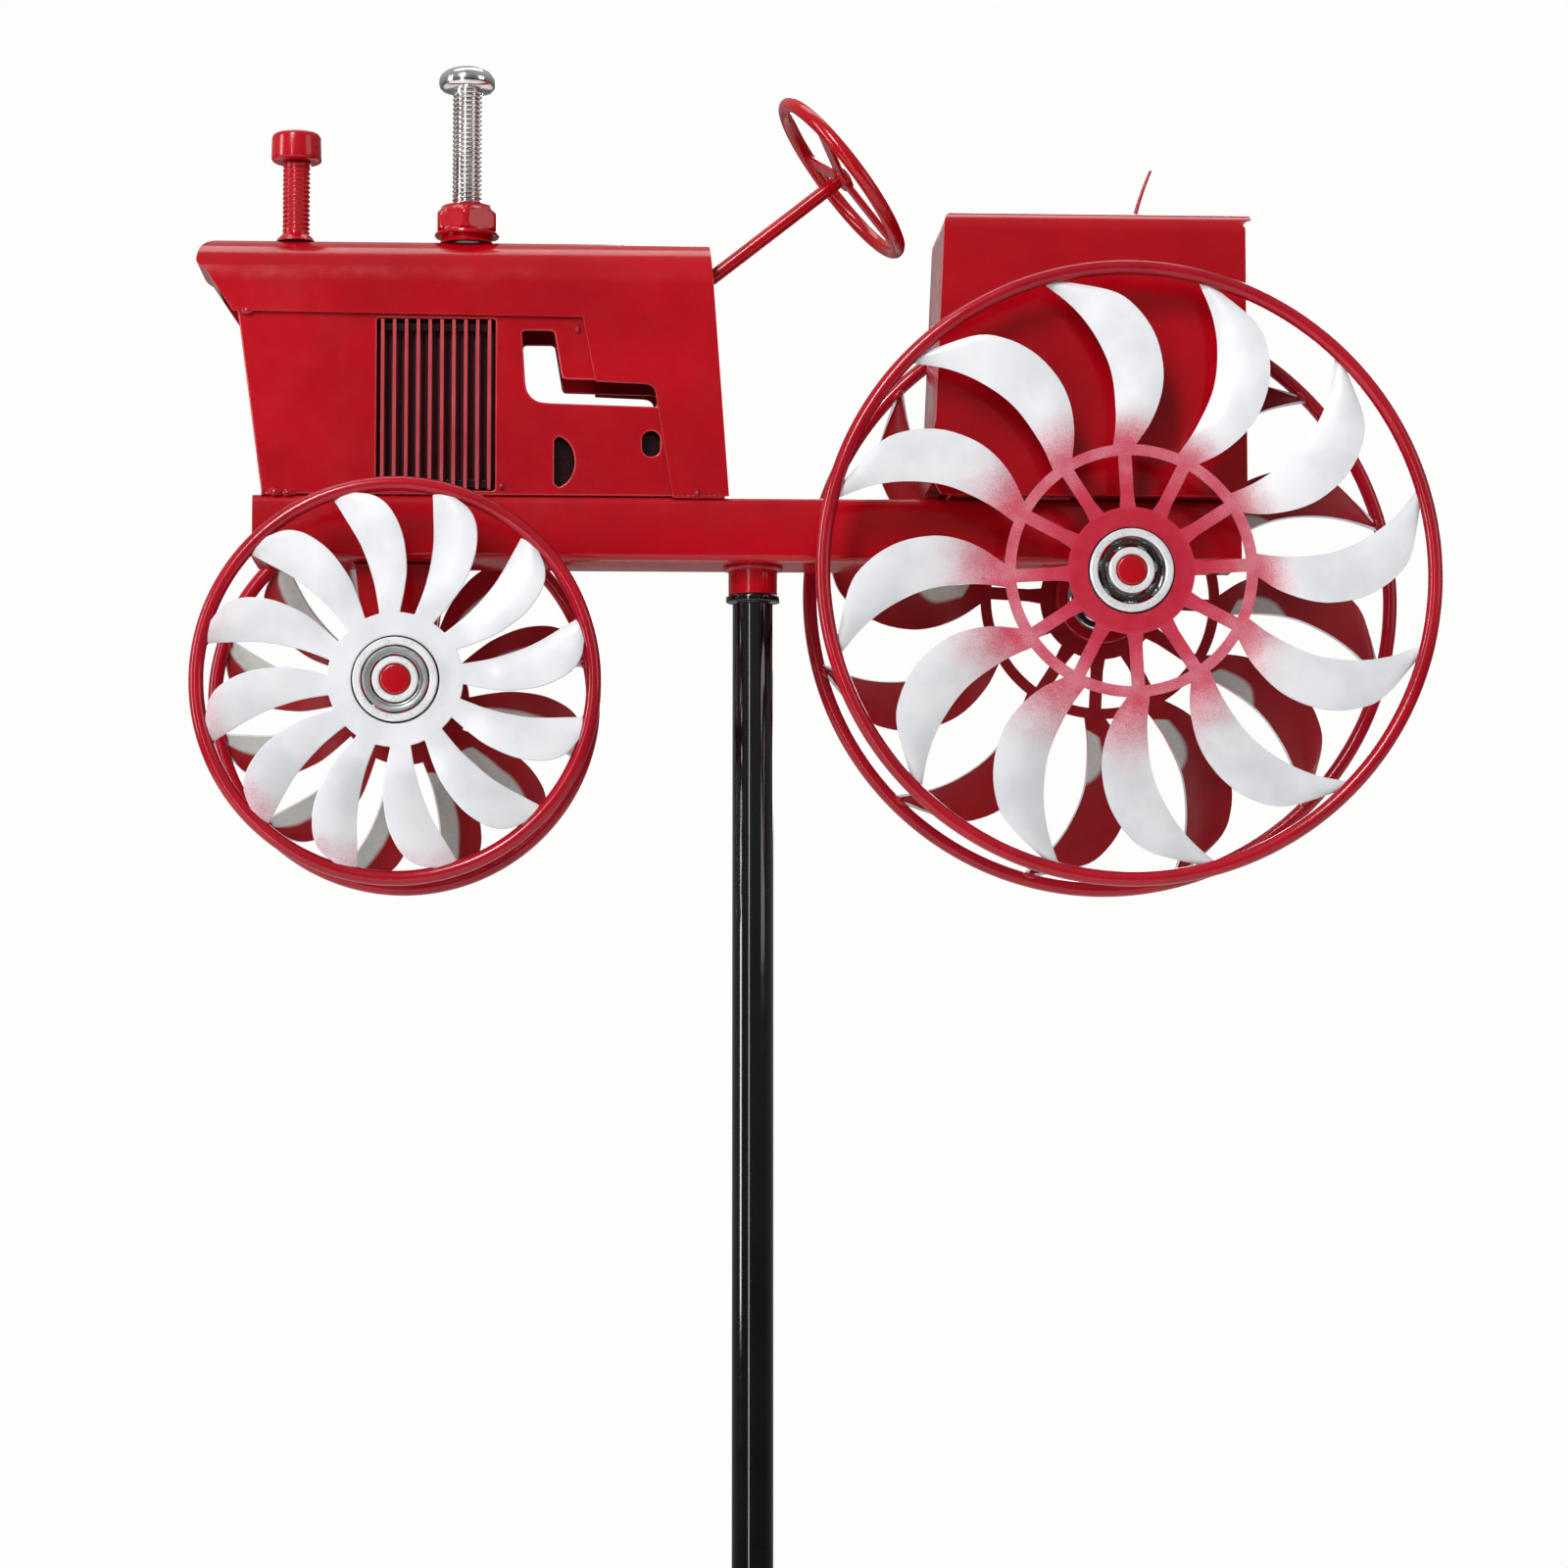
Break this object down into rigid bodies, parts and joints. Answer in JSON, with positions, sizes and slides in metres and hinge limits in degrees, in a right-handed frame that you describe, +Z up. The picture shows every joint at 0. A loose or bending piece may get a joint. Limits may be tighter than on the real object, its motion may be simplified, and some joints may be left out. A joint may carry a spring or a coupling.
{
  "type": "garden wind spinner",
  "caption": "Tractor-shaped garden wind spinner: bladed wheels on ball bearings under a sheet-metal tractor that swivels on a pole with a ground fork.",
  "frame": {"origin": "on the pole's axis at the ground line, which is the underside of the fork's step bar", "axes": "+Z up along the pole, -X towards the tractor's nose, -Y towards the tractor's left side"},
  "size_m": [0.3287, 0.07, 0.935],
  "materials": {
    "body_red": "gloss red enamel",
    "wheel_red": "gloss red enamel",
    "blade_white": "satin pearl white with a red airbrushed fade at the roots",
    "black_paint": "gloss black enamel",
    "chrome": "bright zinc or chrome plate",
    "bearing_steel": "ground bearing steel"
  },
  "bodies": {
    "pole": {"fork_prong_front": "black_paint", "fork_prong_rear": "black_paint", "fork_socket": "black_paint", "fork_step_bar": "black_paint", "pole_lower": "black_paint", "pole_upper": "black_paint", "swivel_pin": "bearing_steel", "swivel_washer": "black_paint"},
    "tractor": {"air_cleaner_screw": "body_red", "chassis_beam": "body_red", "engine_block": "body_red", "exhaust_nut": "body_red", "exhaust_screw": "chrome", "fender_box": "body_red", "fender_floor": "body_red", "front_axle": "body_red", "front_axle_post": "body_red", "front_left_bearing_inner_ring": "bearing_steel", "front_left_spacer": "body_red", "front_plate": "body_red", "front_right_bearing_inner_ring": "bearing_steel", "front_right_spacer": "body_red", "grille_left": "body_red", "grille_right": "body_red", "hood": "body_red", "lever_wire": "body_red", "radiator_core": "body_red", "rear_axle": "body_red", "rear_bulkhead": "body_red", "rear_left_bearing_inner_ring": "bearing_steel", "rear_left_spacer": "body_red", "rear_right_bearing_inner_ring": "bearing_steel", "rear_right_spacer": "body_red", "side_panel_left": "body_red", "side_panel_right": "body_red", "steering_column": "body_red", "steering_wheel": "body_red", "swivel_socket": "body_red"},
    "rear_left_wheel": {"rear_left_bearing_outer_ring": "bearing_steel", "rear_left_hub_cup": "wheel_red", "rear_left_rim": "wheel_red", "rear_left_rotor": "blade_white"},
    "rear_right_wheel": {"rear_right_bearing_outer_ring": "bearing_steel", "rear_right_hub_cup": "wheel_red", "rear_right_rim": "wheel_red", "rear_right_rotor": "blade_white"},
    "front_left_wheel": {"front_left_bearing_outer_ring": "bearing_steel", "front_left_bearing_shield": "bearing_steel", "front_left_hub_cup": "wheel_red", "front_left_rim": "wheel_red", "front_left_rotor": "blade_white"},
    "front_right_wheel": {"front_right_bearing_outer_ring": "bearing_steel", "front_right_bearing_shield": "bearing_steel", "front_right_hub_cup": "wheel_red", "front_right_rim": "wheel_red", "front_right_rotor": "blade_white"},
    "rear_left_cage": {"rear_left_ball_cage": "bearing_steel"},
    "rear_right_cage": {"rear_right_ball_cage": "bearing_steel"},
    "front_left_cage": {"front_left_ball_cage": "bearing_steel"},
    "front_right_cage": {"front_right_ball_cage": "bearing_steel"}
  },
  "joints": [
    {"name": "tractor_swivel", "type": "hinge", "parent": "pole", "child": "tractor", "pos_m": [0, 0, 0.61], "axis": [0, 0, 1], "continuous": true},
    {"name": "rear_left_spin", "type": "hinge", "parent": "tractor", "child": "rear_left_wheel", "pos_m": [0.0977, -0.03, 0.6157], "axis": [0, 1, 0], "continuous": true},
    {"name": "rear_left_cage_roll", "type": "hinge", "parent": "tractor", "child": "rear_left_cage", "pos_m": [0.0977, -0.03, 0.6157], "axis": [0, 1, 0], "continuous": true},
    {"name": "rear_right_spin", "type": "hinge", "parent": "tractor", "child": "rear_right_wheel", "pos_m": [0.0977, 0.03, 0.6157], "axis": [0, 1, 0], "continuous": true},
    {"name": "rear_right_cage_roll", "type": "hinge", "parent": "tractor", "child": "rear_right_cage", "pos_m": [0.0977, 0.03, 0.6157], "axis": [0, 1, 0], "continuous": true},
    {"name": "front_left_spin", "type": "hinge", "parent": "tractor", "child": "front_left_wheel", "pos_m": [-0.0941, -0.028, 0.5863], "axis": [0, 1, 0], "continuous": true},
    {"name": "front_left_cage_roll", "type": "hinge", "parent": "tractor", "child": "front_left_cage", "pos_m": [-0.0941, -0.028, 0.5863], "axis": [0, 1, 0], "continuous": true},
    {"name": "front_right_spin", "type": "hinge", "parent": "tractor", "child": "front_right_wheel", "pos_m": [-0.0941, 0.028, 0.5863], "axis": [0, 1, 0], "continuous": true},
    {"name": "front_right_cage_roll", "type": "hinge", "parent": "tractor", "child": "front_right_cage", "pos_m": [-0.0941, 0.028, 0.5863], "axis": [0, 1, 0], "continuous": true}
  ],
  "couplings": [
    {"joint": "rear_left_cage_roll", "follows": "rear_left_spin", "ratio": 0.6333},
    {"joint": "rear_right_cage_roll", "follows": "rear_right_spin", "ratio": 0.6333},
    {"joint": "front_left_cage_roll", "follows": "front_left_spin", "ratio": 0.6333},
    {"joint": "front_right_cage_roll", "follows": "front_right_spin", "ratio": 0.6333}
  ]
}
